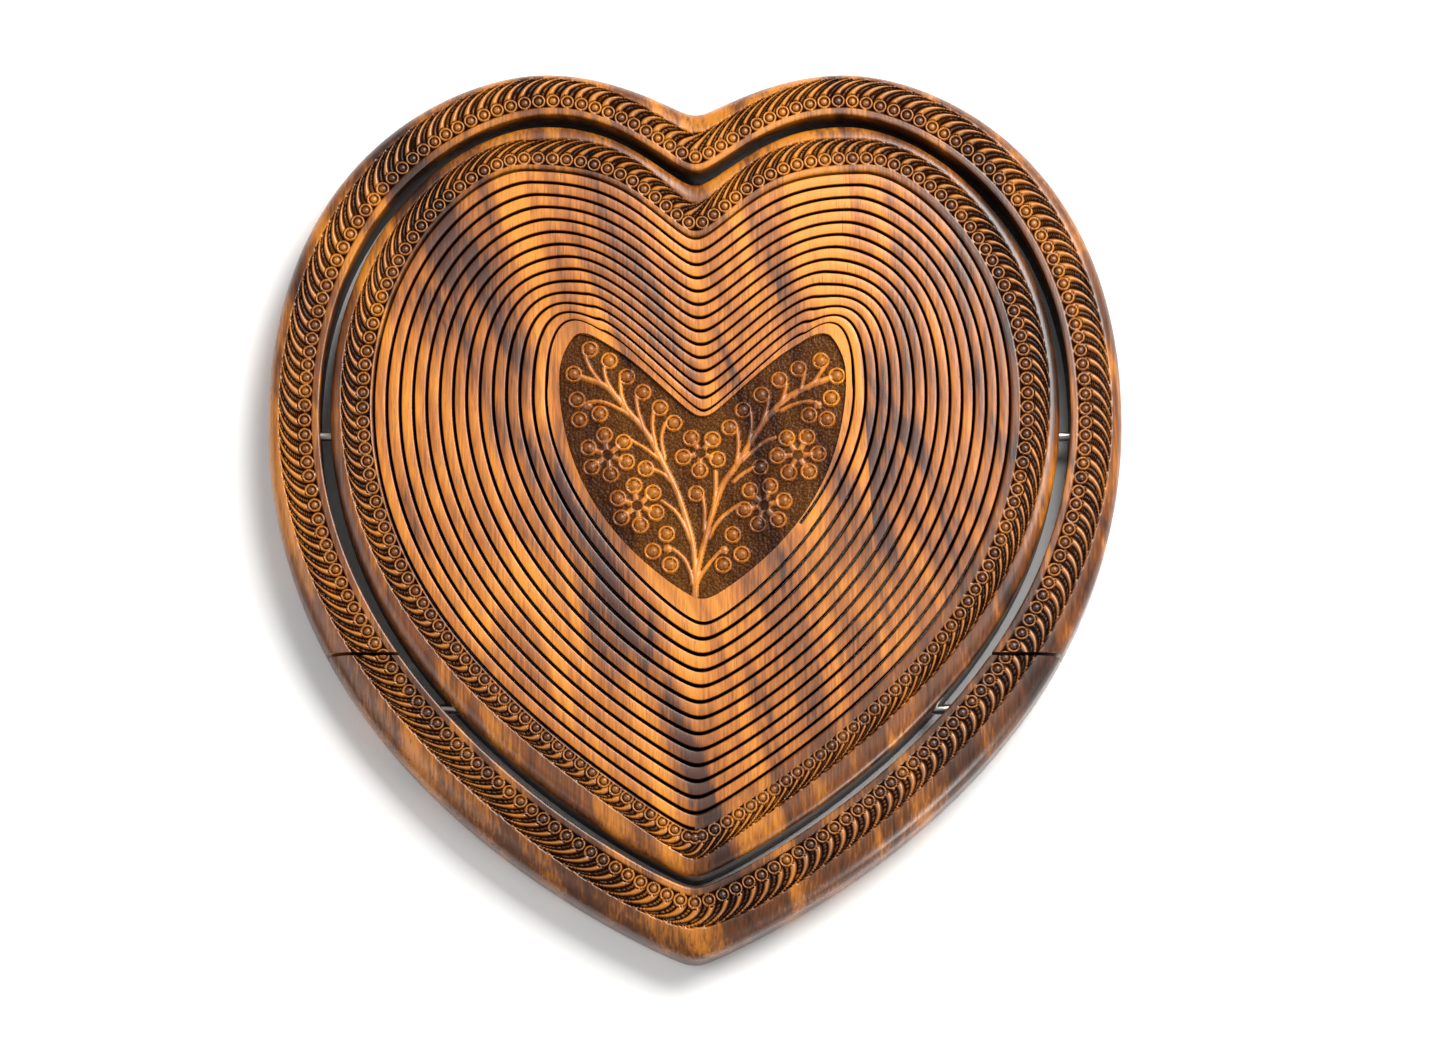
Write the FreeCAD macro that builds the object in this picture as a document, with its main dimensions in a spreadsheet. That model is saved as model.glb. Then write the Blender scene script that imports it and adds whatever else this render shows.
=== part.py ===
"""Collapsible heart basket, carved and scroll-sawn from one board.

Frame: the board lies flat on z = 0, its top is at z = board_thickness, +Y points to the
lobes of the heart and -Y to its tip. The origin is under the middle of the outline.

A single leaning saw cut runs in a spiral from the rim to the floral panel, so that the
spiral drops into a basket. The band outside the rim is cut in two: the upper part swings
up as the handle, and the V at the tip swings down as the foot.
"""
import FreeCAD, Part
import math
import os
from FreeCAD import Placement, Rotation, Vector

doc = FreeCAD.newDocument("heart_basket")

# ---------------------------------------------------------------- driving dimensions
DIMENSIONS = {
    "board_thickness": 20.0,
    "ring_gap_share": 0.21,         # air gap round the rim, as a share of gap plus rim
    "plain_cut_width": 1.2,         # saw cut between handle and foot
    "plain_cut_y": -53.4,
    "corner_softness": 4.0,         # radius that eases the cleft and the tip
    "spiral_turns": 13.87,          # length of the spiral cut, in turns from the tip
    "spiral_full_turns": 13.5,      # turns between the two outlines that guide the cut
    "kerf_half_turns": 0.10,        # half the cut's width, as a share of one pitch
    "kerf_lean_turns": 0.55,        # how far the cut moves inward through the board
    "kerf_end_middle_x": 3.0,       # the cut winds in towards a point right of the middle
    "strip_end_gap": 0.1,           # where one turn's solid meets the next
    "panel_recess": 1.6,            # depth of the carved ground below the board's top
    "ground_middle_x": 2.7,
    "handle_pivot_y": 28.5,
    "foot_pivot_y": -71.4,
    "pivot_height": 10.0,
    "shank_radius": 1.75,
    "running_clearance": 0.08,
    "head_radius": 3.6,
    "head_thickness": 2.6,
    "head_clearance": 0.3,          # round the head in its seat
    "head_seat_gap": 0.1,           # under the head
    "handle_tip_x": 120.8,          # where the handle screws end, in the rim
    "handle_head_x": 146.0,         # underside of the handle screws' heads
    "foot_tip_x": 75.6,
    "foot_head_x": 112.0,
    "slot_width": 1.0,
    "slot_depth": 1.1,
    "foot_relief_height": 12.0,     # bevel under the foot's inner edge
    "foot_relief_share": 0.42,      # and its depth, as a share of the band's width
}

# Each outline is half a heart: three cubic curves that join at the top of the lobe and
# at the widest point, mirrored in x. Angles are in degrees, the rest in millimetres.
OUTLINE_FIELDS = ("cleft_y", "cleft_rise", "cleft_pull", "lobe_x", "lobe_y", "lobe_pull_in",
                  "lobe_pull_out", "side_x", "side_y", "side_pull_up", "side_pull_down",
                  "tip_y", "tip_rise", "tip_pull")
OUTLINES = {
    "silhouette": (145.0, 31.5, 19.5, 54.0, 162.5, 19.5, 31.5, 152.5, 34.5, 98.5, 96.0,
                   -164.32, 24.5, 89.0),
    "band_inner": (122.0, 35.5, 20.0, 52.0, 146.0, 22.0, 29.0, 134.0, 35.0, 79.0, 91.5,
                   -139.3, 24.5, 50.0),
    "kerf_start": (98.5, 42.0, 30.0, 61.9, 127.0, 33.3, 18.5, 115.8, 39.3, 54.0, 74.4,
                   -119.3, 34.0, 70.0),
    "kerf_end": (33.6, 25.0, 3.0, 35.5, 64.4, 4.3, 3.0, 54.8, 42.9, 39.6, 41.5,
                 -41.1, 22.0, 10.0),
    "ground": (30.4, 38.9, 8.8, 44.3, 64.0, 13.0, 2.2, 51.2, 48.9, 7.0, 49.4,
               -36.4, 36.0, 23.1),
}

sheet = doc.addObject("Spreadsheet::Sheet", "Dimensions")
for outline, values in OUTLINES.items():
    for field, value in zip(OUTLINE_FIELDS, values):
        DIMENSIONS[f"{outline}_{field}"] = value
for row, (alias, value) in enumerate(DIMENSIONS.items(), start=1):
    sheet.set(f"A{row}", alias)
    sheet.set(f"B{row}", str(value))
    sheet.setAlias(f"B{row}", alias)
doc.recompute()


def size(alias):
    """A driving dimension, read back from the sheet."""
    return float(sheet.get(alias))


TOP = size("board_thickness")
KERF_HALF = size("kerf_half_turns")
LEAN = size("kerf_lean_turns")
TURNS = size("spiral_turns")
WHOLE_TURNS = int(TURNS)
LAST_PART = TURNS - WHOLE_TURNS


# ---------------------------------------------------------------- the heart outlines
def outline_spec(name):
    """The fourteen values of one guiding outline."""
    return [size(f"{name}_{field}") for field in OUTLINE_FIELDS]


def between(first, second, share):
    """The outline that lies a share of the way from the first to the second."""
    return [a + share * (b - a) for a, b in zip(first, second)]


SILHOUETTE = outline_spec("silhouette")
BAND_INNER = outline_spec("band_inner")
KERF_START = outline_spec("kerf_start")
KERF_END = outline_spec("kerf_end")
GROUND = outline_spec("ground")
RIM_OUTER = between(BAND_INNER, KERF_START, size("ring_gap_share"))

# How much of the way from tip to cleft each of the three curves takes.
LOWER_SHARE = 0.46
SHOULDER_SHARE = 0.32
LOBE_SHARE = 1 - LOWER_SHARE - SHOULDER_SHARE
# Places around the heart where a wall of the cut is divided: both sides, lobes and the cleft.
WALL_BREAKS = (LOWER_SHARE / 4, LOWER_SHARE / 2, (1 - LOBE_SHARE) / 2, 0.5,
               (1 + LOBE_SHARE) / 2, 1 - LOWER_SHARE / 2, 1 - LOWER_SHARE / 4)


def cubic(start, pull_start, pull_end, end, at):
    """A point on a cubic Bezier curve."""
    left = 1 - at
    weights = (left ** 3, 3 * left ** 2 * at, 3 * left * at ** 2, at ** 3)
    points = (start, pull_start, pull_end, end)
    return tuple(sum(w * p[axis] for w, p in zip(weights, points)) for axis in (0, 1))


def eased(x, y, rise, strength):
    """Lift a point near a sharp V so that the V ends in a round."""
    radius = size("corner_softness") * strength
    return y + math.tan(math.radians(rise)) * (math.hypot(x, radius) - abs(x))


def half_heart(spec, along):
    """A point on the right half of an outline, from the tip (0) to the cleft (1)."""
    (cleft_y, cleft_rise, cleft_pull, lobe_x, lobe_y, lobe_in, lobe_out,
     side_x, side_y, side_up, side_down, tip_y, tip_rise, tip_pull) = spec
    if along < LOWER_SHARE:
        at = along / LOWER_SHARE
        angle = math.radians(tip_rise)
        pull = (tip_pull * math.cos(angle), tip_y + tip_pull * math.sin(angle))
        x, y = cubic((0, tip_y), pull, (side_x, side_y - side_down), (side_x, side_y), at)
        return x, eased(x, y, tip_rise, 1 - at)
    if along < LOWER_SHARE + SHOULDER_SHARE:
        at = (along - LOWER_SHARE) / SHOULDER_SHARE
        return cubic((side_x, side_y), (side_x, side_y + side_up), (lobe_x + lobe_out, lobe_y),
                     (lobe_x, lobe_y), at)
    at = (along - LOWER_SHARE - SHOULDER_SHARE) / LOBE_SHARE
    angle = math.radians(cleft_rise)
    pull = (cleft_pull * math.cos(angle), cleft_y + cleft_pull * math.sin(angle))
    x, y = cubic((lobe_x, lobe_y), (lobe_x - lobe_in, lobe_y), pull, (0, cleft_y), at)
    return x, eased(x, y, cleft_rise, at)


def stations():
    """Steps from tip to cleft, close together at both ends where the outline bends most."""
    lower = [LOWER_SHARE * (i / 16) ** 2 for i in range(16)]
    shoulder = [LOWER_SHARE + SHOULDER_SHARE * i / 8 for i in range(8)]
    lobe = [1 - LOBE_SHARE * (1 - i / 10) ** 2 for i in range(11)]
    return lower + shoulder + lobe


def curve_edge(points):
    """One smooth edge through a list of points."""
    curve = Part.BSplineCurve()
    curve.interpolate(points)
    return curve.toShape()


def outline_wire(spec, height):
    """A closed heart at one height: a right half and a left half."""
    right = [Vector(*half_heart(spec, along), height) for along in stations()]
    right[0].x = 0
    right[-1].x = 0
    left = [Vector(-p.x, p.y, height) for p in reversed(right)]
    return Part.Wire([curve_edge(right), curve_edge(left)])


def heart_block(layers):
    """A solid heart through (height, outline) layers, straight between layers."""
    wires = [outline_wire(spec, height) for height, spec in layers]
    return Part.makeLoft(wires, True, True)


# ---------------------------------------------------------------- the spiral cut
def spiral_point(depth, around, height):
    """A point on the cut at a depth in turns, and a place around the heart from 0 to 1.

    The cut goes from the tip up the left side, over the cleft and down the right side.
    """
    share = (depth + LEAN * (1 - height / TOP)) / size("spiral_full_turns")
    spec = between(KERF_START, KERF_END, share)
    middle = share * size("kerf_end_middle_x")
    if around <= 0.5:
        x, y = half_heart(spec, 2 * around)
        return Vector(middle - x, y, height)
    x, y = half_heart(spec, 2 * (1 - around))
    return Vector(middle + x, y, height)


def spiral_wall(whole, offset, height, stretch=(0.0, 1.0), gap=0.0):
    """One wall of the cut for one turn or a stretch of it, in parts that meet at WALL_BREAKS.

    The wall's ends are drawn back from the line between tip and cleft by the gap.
    """
    start, stop = stretch
    left = [along / 2 for along in stations()]
    places = left + [1 - place for place in reversed(left[:-1])]
    places = [start] + [place for place in places if start < place < stop] + [stop]
    points = [spiral_point(whole + place + offset, place, height) for place in places]
    if start == 0.0:
        points[0].x -= gap
    if stop == 1.0:
        points[-1].x += gap
    breaks = [start] + [place for place in WALL_BREAKS if start < place < stop] + [stop]
    ends = [min(range(len(places)), key=lambda i, at=at: abs(places[i] - at)) for at in breaks]
    return [points[first:last + 1] for first, last in zip(ends, ends[1:])]


def wall_edges(wall):
    """A smooth edge through each part of a wall."""
    return [curve_edge(part) for part in wall]


def strip_edges(outer, inner):
    """The outline of a strip: an outer wall, an inner wall and the two ends."""
    ends = [Part.makeLine(outer[-1][-1], inner[-1][-1]), Part.makeLine(inner[0][0], outer[0][0])]
    return wall_edges(outer) + wall_edges(inner) + ends


def leaning_block(bottom, top):
    """The solid between two outlines whose edges match one to one."""
    faces = [Part.makeRuledSurface(low, high) for low, high in zip(bottom, top)]
    faces += [Part.Face(Part.Wire(Part.__sortEdges__(edges))) for edges in (bottom, top)]
    shell = Part.makeShell(faces)
    shell.sewShape()
    solid = Part.Solid(shell.Shells[0])
    if solid.Volume < 0:
        solid.reverse()
    return solid


def strip_block(number):
    """The solid between one turn of the cut and the next."""
    stretch = (0.0, 1.0 if number < WHOLE_TURNS else LAST_PART - 0.0005)
    gap = size("strip_end_gap")
    outlines = []
    for height in (0, TOP):
        outer = spiral_wall(number - 1, KERF_HALF, height, stretch, gap)
        inner = spiral_wall(number, -KERF_HALF, height, stretch, gap)
        outlines.append(strip_edges(outer, inner))
    return leaning_block(*outlines)


def rim_hole():
    """What the first turn of the cut takes out of the rim, with its step at the tip."""
    outlines = []
    for height in (-1.0, TOP + 1.0):
        wall = spiral_wall(0, -KERF_HALF, height)
        outlines.append(wall_edges(wall) + [Part.makeLine(wall[-1][-1], wall[0][0])])
    return leaning_block(*outlines)


def panel_edges(height):
    """The panel's edge: the cut's last turn, a step out at its end, then the turn before."""
    inner = spiral_wall(WHOLE_TURNS, KERF_HALF, height, (0.0, LAST_PART))
    outer = spiral_wall(WHOLE_TURNS - 1, KERF_HALF, height, (LAST_PART, 1.0))
    outer[-1][-1] = inner[0][0]
    return wall_edges(inner) + [Part.makeLine(inner[-1][-1], outer[0][0])] + wall_edges(outer)


# ---------------------------------------------------------------- document objects
def feature(name, shape):
    """A shape of the builder's own as an object of the document."""
    item = doc.addObject("Part::Feature", name)
    item.Shape = shape
    return item


def rod(name, radius, x_start, x_end, y_alias):
    """A round rod along X, bound to the sheet: a shank, a head or the tool for a bore."""
    item = doc.addObject("Part::Cylinder", name)
    item.setExpression("Radius", radius)
    item.setExpression("Height", f"abs(({x_end}) - ({x_start}))")
    item.setExpression("Placement.Base.x", f"min({x_start}; {x_end})")
    item.setExpression("Placement.Base.y", f"Dimensions.{y_alias}")
    item.setExpression("Placement.Base.z", "Dimensions.pivot_height")
    item.Placement.Rotation = Rotation(Vector(0, 1, 0), 90)
    return item


def block(name, lengths, corner):
    """A box bound to the sheet by three lengths and its lowest corner."""
    item = doc.addObject("Part::Box", name)
    for side, expression in zip(("Length", "Width", "Height"), lengths):
        item.setExpression(side, expression)
    for axis, expression in zip("xyz", corner):
        item.setExpression(f"Placement.Base.{axis}", expression)
    return item


def joined(name, kind, base, tool):
    """A boolean of two objects."""
    item = doc.addObject(f"Part::{kind}", name)
    item.Base = base
    item.Tool = tool
    return item


def together(name, pieces):
    """Several objects as one tool."""
    item = doc.addObject("Part::MultiFuse", name)
    item.Shapes = pieces
    return item


finished = []


def finish(item, node):
    """Name a finished piece after its node."""
    item.Label = node
    finished.append(item)


HALF_SPAN = "Dimensions.silhouette_side_x + 20"
SPAN = f"2 * ({HALF_SPAN})"

# ---------------------------------------------------------------- pivot screws
PIVOTS = {owner: {field: f"{owner}_{field}" for field in ("pivot_y", "tip_x", "head_x")}
          for owner in ("handle", "foot")}
bores = {"handle": [], "foot": [], "rim": []}
for owner, pivot in PIVOTS.items():
    for side_name, side in (("left", -1), ("right", 1)):
        tag = f"{owner}_{side_name}"
        head_x = f"({side}) * Dimensions.{pivot['head_x']}"
        head_top = f"({side}) * (Dimensions.{pivot['head_x']} + Dimensions.head_thickness)"
        tip_x = f"({side}) * Dimensions.{pivot['tip_x']}"
        far_x = f"({side}) * ({HALF_SPAN})"
        seat_x = f"({side}) * (Dimensions.{pivot['head_x']} - Dimensions.head_seat_gap)"
        shank = rod(f"shank_{tag}", "Dimensions.shank_radius", tip_x, head_x, pivot["pivot_y"])
        head = rod(f"head_{tag}", "Dimensions.head_radius", head_x, head_top, pivot["pivot_y"])
        plain = together(f"screw_{tag}", [shank, head])
        slot_x = (f"({side}) * (Dimensions.{pivot['head_x']} + Dimensions.head_thickness)"
                  f" - Dimensions.slot_depth")
        slot = block(f"slot_{tag}",
                     ("2 * Dimensions.slot_depth", "Dimensions.slot_width", "Dimensions.board_thickness"),
                     (slot_x, f"Dimensions.{pivot['pivot_y']} - Dimensions.slot_width / 2", "0"))
        finish(joined(f"slotted_{tag}", "Cut", plain, slot), f"{owner}_screw_{side_name}")
        bores[owner].append(rod(f"bore_{tag}", "Dimensions.shank_radius + Dimensions.running_clearance",
                                "0", far_x, pivot["pivot_y"]))
        bores[owner].append(rod(f"seat_{tag}", "Dimensions.head_radius + Dimensions.head_clearance",
                                seat_x, far_x, pivot["pivot_y"]))
        bores["rim"].append(rod(f"pilot_{tag}", "Dimensions.shank_radius", tip_x, far_x, pivot["pivot_y"]))

# ---------------------------------------------------------------- handle and foot
# The band's outer edge is a broad polished round above and a small one below.
OUTER_EDGE = ((0.0, 0.13), (1.5, 0.04), (4.5, 0.0), (14.0, 0.0), (16.5, 0.05), (18.6, 0.18), (TOP, 0.42))
band_layers = [(height, between(SILHOUETTE, BAND_INNER, share)) for height, share in OUTER_EDGE]
band_outside = heart_block(band_layers)

RELIEF = size("foot_relief_height")
relieved = between(BAND_INNER, SILHOUETTE, size("foot_relief_share"))
plain_hole = heart_block([(-1.0, BAND_INNER), (TOP + 1.0, BAND_INNER)])
relief_hole = heart_block([(0.0, relieved), (RELIEF, BAND_INNER)])

handle_band = feature("handle_band", band_outside.cut(plain_hole))
above_cut = block("above_cut", (SPAN, SPAN, "Dimensions.board_thickness + 2"),
                  (f"-({HALF_SPAN})", "Dimensions.plain_cut_y + Dimensions.plain_cut_width / 2", "-1"))
handle_blank = joined("handle_blank", "Common", handle_band, above_cut)
finish(joined("handle_drilled", "Cut", handle_blank, together("handle_bores", bores["handle"])),
       "carry_handle")

foot_band = feature("foot_band", band_outside.cut(plain_hole).cut(relief_hole))
below_cut = block("below_cut", (SPAN, SPAN, "Dimensions.board_thickness + 2"),
                  (f"-({HALF_SPAN})", f"Dimensions.plain_cut_y - Dimensions.plain_cut_width / 2 - {SPAN}",
                   "-1"))
foot_blank = joined("foot_blank", "Common", foot_band, below_cut)
# Under each upper end the foot is rounded about its screws, so that it turns past the handle.
end_corner = block("end_corner",
                   (SPAN, "Dimensions.plain_cut_y - Dimensions.foot_pivot_y", "Dimensions.pivot_height"),
                   (f"-({HALF_SPAN})", "Dimensions.foot_pivot_y", "0"))
end_round = rod("end_round",
                "Dimensions.plain_cut_y - Dimensions.foot_pivot_y - Dimensions.plain_cut_width / 2",
                f"-({HALF_SPAN})", HALF_SPAN, "foot_pivot_y")
end_waste = joined("end_waste", "Cut", end_corner, end_round)
foot_rounded = joined("foot_rounded", "Cut", foot_blank, end_waste)
finish(joined("foot_drilled", "Cut", foot_rounded, together("foot_bores", bores["foot"])),
       "folding_foot")

# ---------------------------------------------------------------- rim
RIM_EDGE = ((0.0, 0.10), (1.6, 0.0), (TOP - 1.8, 0.0), (TOP, 0.10))
rim_layers = [(height, between(RIM_OUTER, KERF_START, share)) for height, share in RIM_EDGE]
rim_blank = feature("rim_blank", heart_block(rim_layers).cut(rim_hole()))
finish(joined("rim_drilled", "Cut", rim_blank, together("rim_bores", bores["rim"])), "basket_rim")

# ---------------------------------------------------------------- spiral and panel
for number in range(1, WHOLE_TURNS + 1):
    finish(feature(f"turn_{number:02d}", strip_block(number)), f"spiral_turn_{number:02d}")

panel_blank = leaning_block(panel_edges(0), panel_edges(TOP))
ground = heart_block([(TOP - size("panel_recess"), GROUND), (TOP + 1.0, GROUND)])
ground.translate(Vector(size("ground_middle_x"), 0, 0))
finish(feature("panel_carved", panel_blank.cut(ground)), "centre_panel")

# ---------------------------------------------------------------- check and write
doc.recompute()
for item in doc.Objects:
    if "Invalid" in item.State or "Error" in item.State:
        raise RuntimeError(f"{item.Name} did not recompute: {item.State}")
for item in finished:
    if item.Shape.isNull() or not item.Shape.isValid():
        raise RuntimeError(f"{item.Label} has no valid shape")

os.makedirs("parts", exist_ok=True)
for item in finished:
    item.Shape.exportStep(f"parts/{item.Label}.step")
    bounds = item.Shape.BoundBox
    print(f"{item.Label:20s} solids {len(item.Shape.Solids)} volume {item.Shape.Volume / 1000:8.2f} cm3"
          f"  x {bounds.XMin:7.1f} {bounds.XMax:7.1f}  y {bounds.YMin:7.1f} {bounds.YMax:7.1f}"
          f"  z {bounds.ZMin:5.1f} {bounds.ZMax:5.1f}")
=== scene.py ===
"""A collapsible heart basket of carved and varnished rosewood, lying flat."""
import math

import bpy
import numpy as np
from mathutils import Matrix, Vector


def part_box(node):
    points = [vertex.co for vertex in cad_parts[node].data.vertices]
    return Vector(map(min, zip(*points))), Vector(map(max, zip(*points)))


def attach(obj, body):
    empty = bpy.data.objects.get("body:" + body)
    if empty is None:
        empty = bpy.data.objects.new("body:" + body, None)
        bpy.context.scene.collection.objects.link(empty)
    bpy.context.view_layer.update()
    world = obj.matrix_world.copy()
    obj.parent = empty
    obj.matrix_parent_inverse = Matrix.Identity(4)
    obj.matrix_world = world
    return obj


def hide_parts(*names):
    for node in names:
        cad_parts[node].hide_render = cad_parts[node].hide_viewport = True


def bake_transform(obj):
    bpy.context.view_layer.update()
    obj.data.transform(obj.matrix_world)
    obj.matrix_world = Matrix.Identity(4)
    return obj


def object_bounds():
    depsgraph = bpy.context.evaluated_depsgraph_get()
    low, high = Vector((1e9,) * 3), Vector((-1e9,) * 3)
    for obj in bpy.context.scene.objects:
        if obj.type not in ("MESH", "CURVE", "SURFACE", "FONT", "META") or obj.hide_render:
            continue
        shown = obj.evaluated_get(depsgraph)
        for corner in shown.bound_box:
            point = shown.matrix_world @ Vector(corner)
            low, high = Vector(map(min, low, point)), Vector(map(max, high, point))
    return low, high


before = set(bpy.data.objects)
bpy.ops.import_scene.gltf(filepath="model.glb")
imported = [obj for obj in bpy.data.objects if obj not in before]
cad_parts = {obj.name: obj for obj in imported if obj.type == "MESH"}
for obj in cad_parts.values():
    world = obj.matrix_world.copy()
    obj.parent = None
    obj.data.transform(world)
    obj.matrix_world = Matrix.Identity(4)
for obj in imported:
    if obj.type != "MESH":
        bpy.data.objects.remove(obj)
cad_low, cad_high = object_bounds()

# ---------------------------------------------------------------- spiral strip
# One strip of rosewood that a fret saw leaves when it runs in a spiral from the rim to the
# panel. It is shown turn by turn, each turn in a left and a right half, and bends from the
# turn inside it to the turn outside it, so that it is one unbroken strip.
MM = 0.001
BOARD_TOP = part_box("basket_rim")[1][2] / MM

# Half hearts: cleft y, rise and pull; lobe x, y, pull in and out; side x, y, pull up and
# down; tip y, rise and pull. Millimetres, and degrees for the two rises.
SILHOUETTE = np.array([145.0, 31.5, 19.5, 54.0, 162.5, 19.5, 31.5, 152.5, 34.5, 98.5, 96.0, -164.32, 24.5, 89.0])
BAND_INNER = np.array([122.0, 35.5, 20.0, 52.0, 146.0, 22.0, 29.0, 134.0, 35.0, 79.0, 91.5, -139.3, 24.5, 50.0])
KERF_START = np.array([98.5, 42.0, 30.0, 61.9, 127.0, 33.3, 18.5, 115.8, 39.3, 54.0, 74.4, -119.3, 34.0, 70.0])
KERF_END = np.array([33.6, 25.0, 3.0, 35.5, 64.4, 4.3, 3.0, 54.8, 42.9, 39.6, 41.5, -41.1, 22.0, 10.0])
KERF_END_MIDDLE = 3.0
RIM_GAP_SHARE = 0.21
RIM_OUTER = BAND_INNER + RIM_GAP_SHARE * (KERF_START - BAND_INNER)
LOWER_SHARE, SHOULDER_SHARE, LOBE_SHARE = 0.46, 0.32, 0.22
CORNER_SOFTNESS = 4.0  # mm, the radius of a heart's tip and cleft
FULL_TURNS = 13.5  # how deep the outline KERF_END lies
WHOLE_TURNS = 13
LAST_PART = 0.87  # of the thirteenth turn, where it runs out into the panel
KERF_HALF = 0.10  # turns
KERF_LEAN = 0.55  # turns, from the top of the board to its underside


def cubic(start, pull_start, pull_end, end, at):
    """A cubic Bezier curve: four points weighted by the cubes and products of at and 1 - at."""
    left = 1 - at
    return [left ** 3 * a + 3 * left ** 2 * at * b + 3 * left * at ** 2 * c + at ** 3 * d
            for a, b, c, d in zip(start, pull_start, pull_end, end)]


def eased(x, y, rise, strength):
    """The V of slope tan(rise) at x = 0 lifted to a hyperbola of the corner's radius."""
    radius = CORNER_SOFTNESS * strength
    return y + np.tan(np.radians(rise)) * (np.hypot(x, radius) - np.abs(x))


def half_heart(outline, along):
    """The right half of a heart at along = 0 (tip) to 1 (cleft), as three cubic curves."""
    (cleft_y, cleft_rise, cleft_pull, lobe_x, lobe_y, lobe_in, lobe_out,
     side_x, side_y, side_up, side_down, tip_y, tip_rise, tip_pull) = outline
    low = np.clip(along / LOWER_SHARE, 0, 1)
    mid = np.clip((along - LOWER_SHARE) / SHOULDER_SHARE, 0, 1)
    top = np.clip((along - LOWER_SHARE - SHOULDER_SHARE) / LOBE_SHARE, 0, 1)
    tip_angle, cleft_angle = np.radians(tip_rise), np.radians(cleft_rise)
    low_x, low_y = cubic((0, tip_y), (tip_pull * np.cos(tip_angle), tip_y + tip_pull * np.sin(tip_angle)),
                         (side_x, side_y - side_down), (side_x, side_y), low)
    mid_x, mid_y = cubic((side_x, side_y), (side_x, side_y + side_up), (lobe_x + lobe_out, lobe_y),
                         (lobe_x, lobe_y), mid)
    cleft_handle = (cleft_pull * np.cos(cleft_angle), cleft_y + cleft_pull * np.sin(cleft_angle))
    top_x, top_y = cubic((lobe_x, lobe_y), (lobe_x - lobe_in, lobe_y), cleft_handle, (0, cleft_y), top)
    low_y = eased(low_x, low_y, tip_rise, 1 - low)
    top_y = eased(top_x, top_y, cleft_rise, top)
    is_low, is_mid = along < LOWER_SHARE, along < LOWER_SHARE + SHOULDER_SHARE
    return (np.where(is_low, low_x, np.where(is_mid, mid_x, top_x)),
            np.where(is_low, low_y, np.where(is_mid, mid_y, top_y)))


def blended(first, second, share):
    """Outlines between two others, one for each number in the array share."""
    spread = (14,) + (1,) * np.ndim(share)
    return first.reshape(spread) + np.multiply.outer(second - first, share)


def spiral_xy(depth, around):
    """The spiral at a depth in turns inwards, and around = 0 at the tip, clockwise, to 1.
    Its middle moves a little to the right as it winds in."""
    share = depth / FULL_TURNS
    along = np.where(around <= 0.5, 2 * around, 2 * (1 - around))
    x, y = half_heart(blended(KERF_START, KERF_END, share), along)
    return KERF_END_MIDDLE * share + np.where(around <= 0.5, -x, x), y


def make_mesh(name, points, faces, smooth_angle):
    """A mesh object from points in millimetres, with its faces turned outwards."""
    mesh = bpy.data.meshes.new(name)
    mesh.from_pydata((points * MM).tolist(), [], faces)
    mesh.polygons.foreach_set("use_smooth", np.ones(len(faces), bool))
    mesh.set_sharp_from_angle(angle=math.radians(smooth_angle))
    mesh.update()
    piece = bpy.data.objects.new(name, mesh)
    bpy.context.scene.collection.objects.link(piece)
    return piece


def skin(name, sections, smooth_angle=60):
    """A closed tube through an array of sections (section, point, xyz), capped at both ends."""
    count, around, _ = sections.shape
    points = sections.reshape(-1, 3)
    here = np.arange(count * around).reshape(count, around)
    beside = np.roll(here, -1, axis=1)
    quads = np.stack([here[:-1], beside[:-1], beside[1:], here[1:]], axis=-1).reshape(-1, 4)
    corner = points[quads]
    middle = points.mean(axis=0)
    lean = np.cross(corner[:, 2] - corner[:, 0], corner[:, 3] - corner[:, 1])
    volume = np.einsum("ij,ij->", corner.mean(axis=1) - middle, lean)
    caps = [here[0][::-1].tolist(), here[-1].tolist()]
    faces = quads.tolist() + caps
    if volume < 0:
        faces = [face[::-1] for face in faces]
    return make_mesh(name, points, faces, smooth_angle)


def add_stain_and_painted_light(piece, stain_and_painted_light):
    """Stores the stain and the painted light of every point for the wood's finish: 1 is near black, dark stain
    with painted shade, below 0 is pale, a painted highlight.
    """
    attribute = piece.data.attributes.new("stain_and_painted_light", "FLOAT", "POINT")
    attribute.data.foreach_set("value", stain_and_painted_light.astype(np.float32).ravel())


# Across the strip, from its outer to its inner side: share of the width, depth below the top,
# and how dark it is painted: the walls of the saw cuts nearly black as painted shade, fading
# up the bevelled edges.
STRIP_SECTION = np.array([(0.0, BOARD_TOP, 0.97), (0.0, 0.45, 0.97), (0.02, 0.2, 0.7), (0.06, 0.05, 0.1),
                          (0.12, 0.0, 0.0), (0.5, 0.0, 0.0), (0.88, 0.0, 0.0), (0.94, 0.05, 0.1),
                          (0.98, 0.2, 0.7), (1.0, 0.45, 0.97), (1.0, BOARD_TOP, 0.97), (0.5, BOARD_TOP, 0.2)])
HALF_STATIONS = 200


def strip_half(number, start, stop):
    """Half a turn of the strip: its section carried along the spiral."""
    step = (1 - np.cos(np.linspace(0, math.pi, HALF_STATIONS))) / 2
    around = (start + (stop - start) * step)[:, None]
    share, below = STRIP_SECTION.T[:2, None, :]
    outer = number - 1 + around + KERF_HALF
    inner = number + around - KERF_HALF
    depth = outer + share * (inner - outer) + KERF_LEAN * below / BOARD_TOP
    x, y = spiral_xy(depth, around + 0 * depth)
    z = BOARD_TOP - below + 0 * x
    return np.stack([x, y, z], axis=-1)


def colour_ramp(nodes, stops):
    """A colour ramp node with (place, colour) stops."""
    ramp = nodes.new("ShaderNodeValToRGB")
    while len(ramp.color_ramp.elements) > 1:
        ramp.color_ramp.elements.remove(ramp.color_ramp.elements[0])
    ramp.color_ramp.elements[0].position = stops[0][0]
    ramp.color_ramp.elements[0].color = (*stops[0][1], 1)
    for place, colour in stops[1:]:
        ramp.color_ramp.elements.new(place).color = (*colour, 1)
    return ramp


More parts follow.
